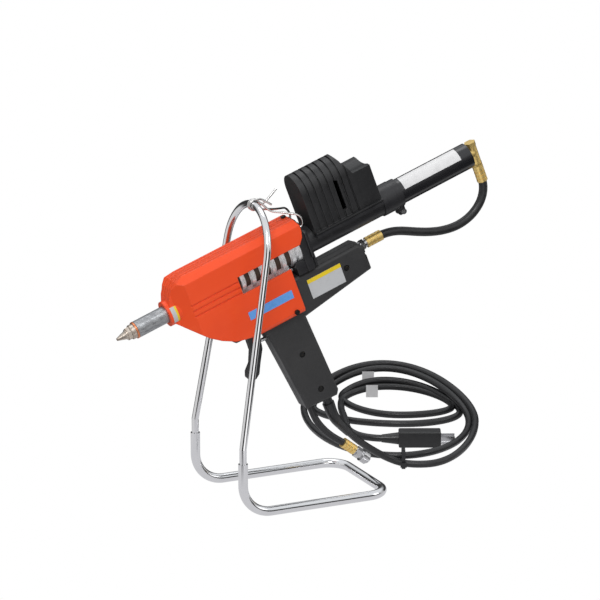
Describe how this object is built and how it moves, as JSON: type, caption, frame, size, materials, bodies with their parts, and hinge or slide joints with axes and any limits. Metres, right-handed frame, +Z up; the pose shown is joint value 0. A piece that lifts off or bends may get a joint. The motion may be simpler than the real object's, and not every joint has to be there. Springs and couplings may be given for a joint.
{
  "type": "hot melt adhesive gun on stand",
  "caption": "Pistol-grip gun that melts adhesive slugs under an orange heat shield, fed by an air cylinder, hung by a wire bail on a bent tube stand, with its mains cord coiled behind it.",
  "frame": {"origin": "middle of the object's footprint on the surface it stands on, measured without the cords", "axes": "+Z up, +X from the nozzle towards the air cylinder, +Y away from the side with the labels and screws"},
  "size_m": [0.601, 0.4214, 0.4318],
  "materials": {
    "plated_steel": "bright",
    "nozzle_steel": "heat-tinted",
    "copper": "satin",
    "steel": "satin",
    "barrel_steel": "mottled",
    "aluminium": "machined",
    "heater_steel": "dull",
    "thermostat_brown": "matte",
    "shield_orange": "satin",
    "black_screw": "blackened",
    "frame_black": "satin",
    "wire_steel": "drawn",
    "hood_black": "semi-gloss",
    "cylinder_black": "gloss",
    "rod_chrome": "polished",
    "seal_rubber": "satin",
    "brass": "satin",
    "hose_rubber": "satin",
    "housing_black": "fine texture",
    "trigger_black": "satin",
    "terminal_cream": "matte",
    "cord_rubber": "satin",
    "plug_black": "satin",
    "tie_black": "satin",
    "label_blue": "satin",
    "label_silver": "satin",
    "label_yellow": "satin",
    "label_white": "satin"
  },
  "bodies": {
    "stand": {"base_tube": "plated_steel", "loop_rod": "plated_steel", "power_cord": "cord_rubber", "cord_coil": "cord_rubber", "cord_end": "cord_rubber", "plug_body": "plug_black", "plug_blades": "steel", "cord_tie": "tie_black", "cord_tags": "label_white"},
    "gun": {"nozzle": "nozzle_steel", "nozzle_washer": "copper", "check_spring": "steel", "valve_seat": "steel", "nose_barrel": "barrel_steel", "melt_chamber": "aluminium", "heater_cartridges": "heater_steel", "thermostat": "thermostat_brown", "shield_left": "shield_orange", "shield_right": "shield_orange", "shield_screws": "black_screw", "front_frame": "frame_black", "hanger_bail": "wire_steel", "breech_trough": "frame_black", "hood_pin": "steel", "cylinder_tube": "cylinder_black", "cylinder_front_cap": "steel", "cylinder_rear_cap": "cylinder_black", "cylinder_clamp": "frame_black", "clamp_screw": "steel", "brass_elbow": "brass", "rear_ferrule": "brass", "link_hose": "hose_rubber", "front_ferrule": "brass", "hose_nut": "steel", "housing_left": "housing_black", "housing_right": "housing_black", "housing_screws": "black_screw", "air_valve_body": "brass", "valve_spring": "steel", "trigger_pin": "steel", "terminal_block": "terminal_cream", "cord_gland": "cord_rubber", "tail_hose": "hose_rubber", "tail_ferrule": "brass", "air_connector": "steel", "shield_label": "label_blue", "housing_label": "label_silver", "nose_label": "label_yellow", "cylinder_label": "label_white"},
    "trigger": {"trigger": "trigger_black"},
    "valve": {"valve_stem": "steel"},
    "check_ball": {"check_ball": "steel"},
    "pusher": {"piston": "aluminium", "piston_seal": "seal_rubber", "piston_rod": "rod_chrome", "pusher_plate": "aluminium"},
    "hood": {"hood": "hood_black"}
  },
  "joints": [
    {"name": "gun_swing", "type": "hinge", "parent": "stand", "child": "gun", "pos_m": [-0.07015, 0, 0.3795], "axis": [0, 1, 0], "range_deg": [-5, 5], "deforming": ["power_cord"]},
    {"name": "trigger_pull", "type": "hinge", "parent": "gun", "child": "trigger", "pos_m": [-0.07833, 0, 0.22107], "axis": [0, -1, 0], "range_deg": [0, 12], "stiffness_Nm_per_rad": 0.6, "springref_deg": -17.19},
    {"name": "valve_travel", "type": "slide", "parent": "gun", "child": "valve", "axis": [0.9361, 0, 0.3518], "range_m": [0, 0.0052], "deforming": ["valve_spring"]},
    {"name": "check_lift", "type": "slide", "parent": "gun", "child": "check_ball", "axis": [-0.9361, 0, -0.3518], "range_m": [0, 0.003], "stiffness_N_per_m": 150, "springref_m": -0.003, "deforming": ["check_spring"]},
    {"name": "pusher_stroke", "type": "slide", "parent": "gun", "child": "pusher", "axis": [-0.9361, 0, -0.3518], "range_m": [0, 0.085]},
    {"name": "hood_lift", "type": "hinge", "parent": "gun", "child": "hood", "pos_m": [0.02235, 0.03, 0.34545], "axis": [-0.9361, 0, -0.3518], "range_deg": [0, 100]}
  ],
  "couplings": [
    {"joint": "valve_travel", "follows": "trigger_pull", "m_per_rad": 0.0248}
  ]
}
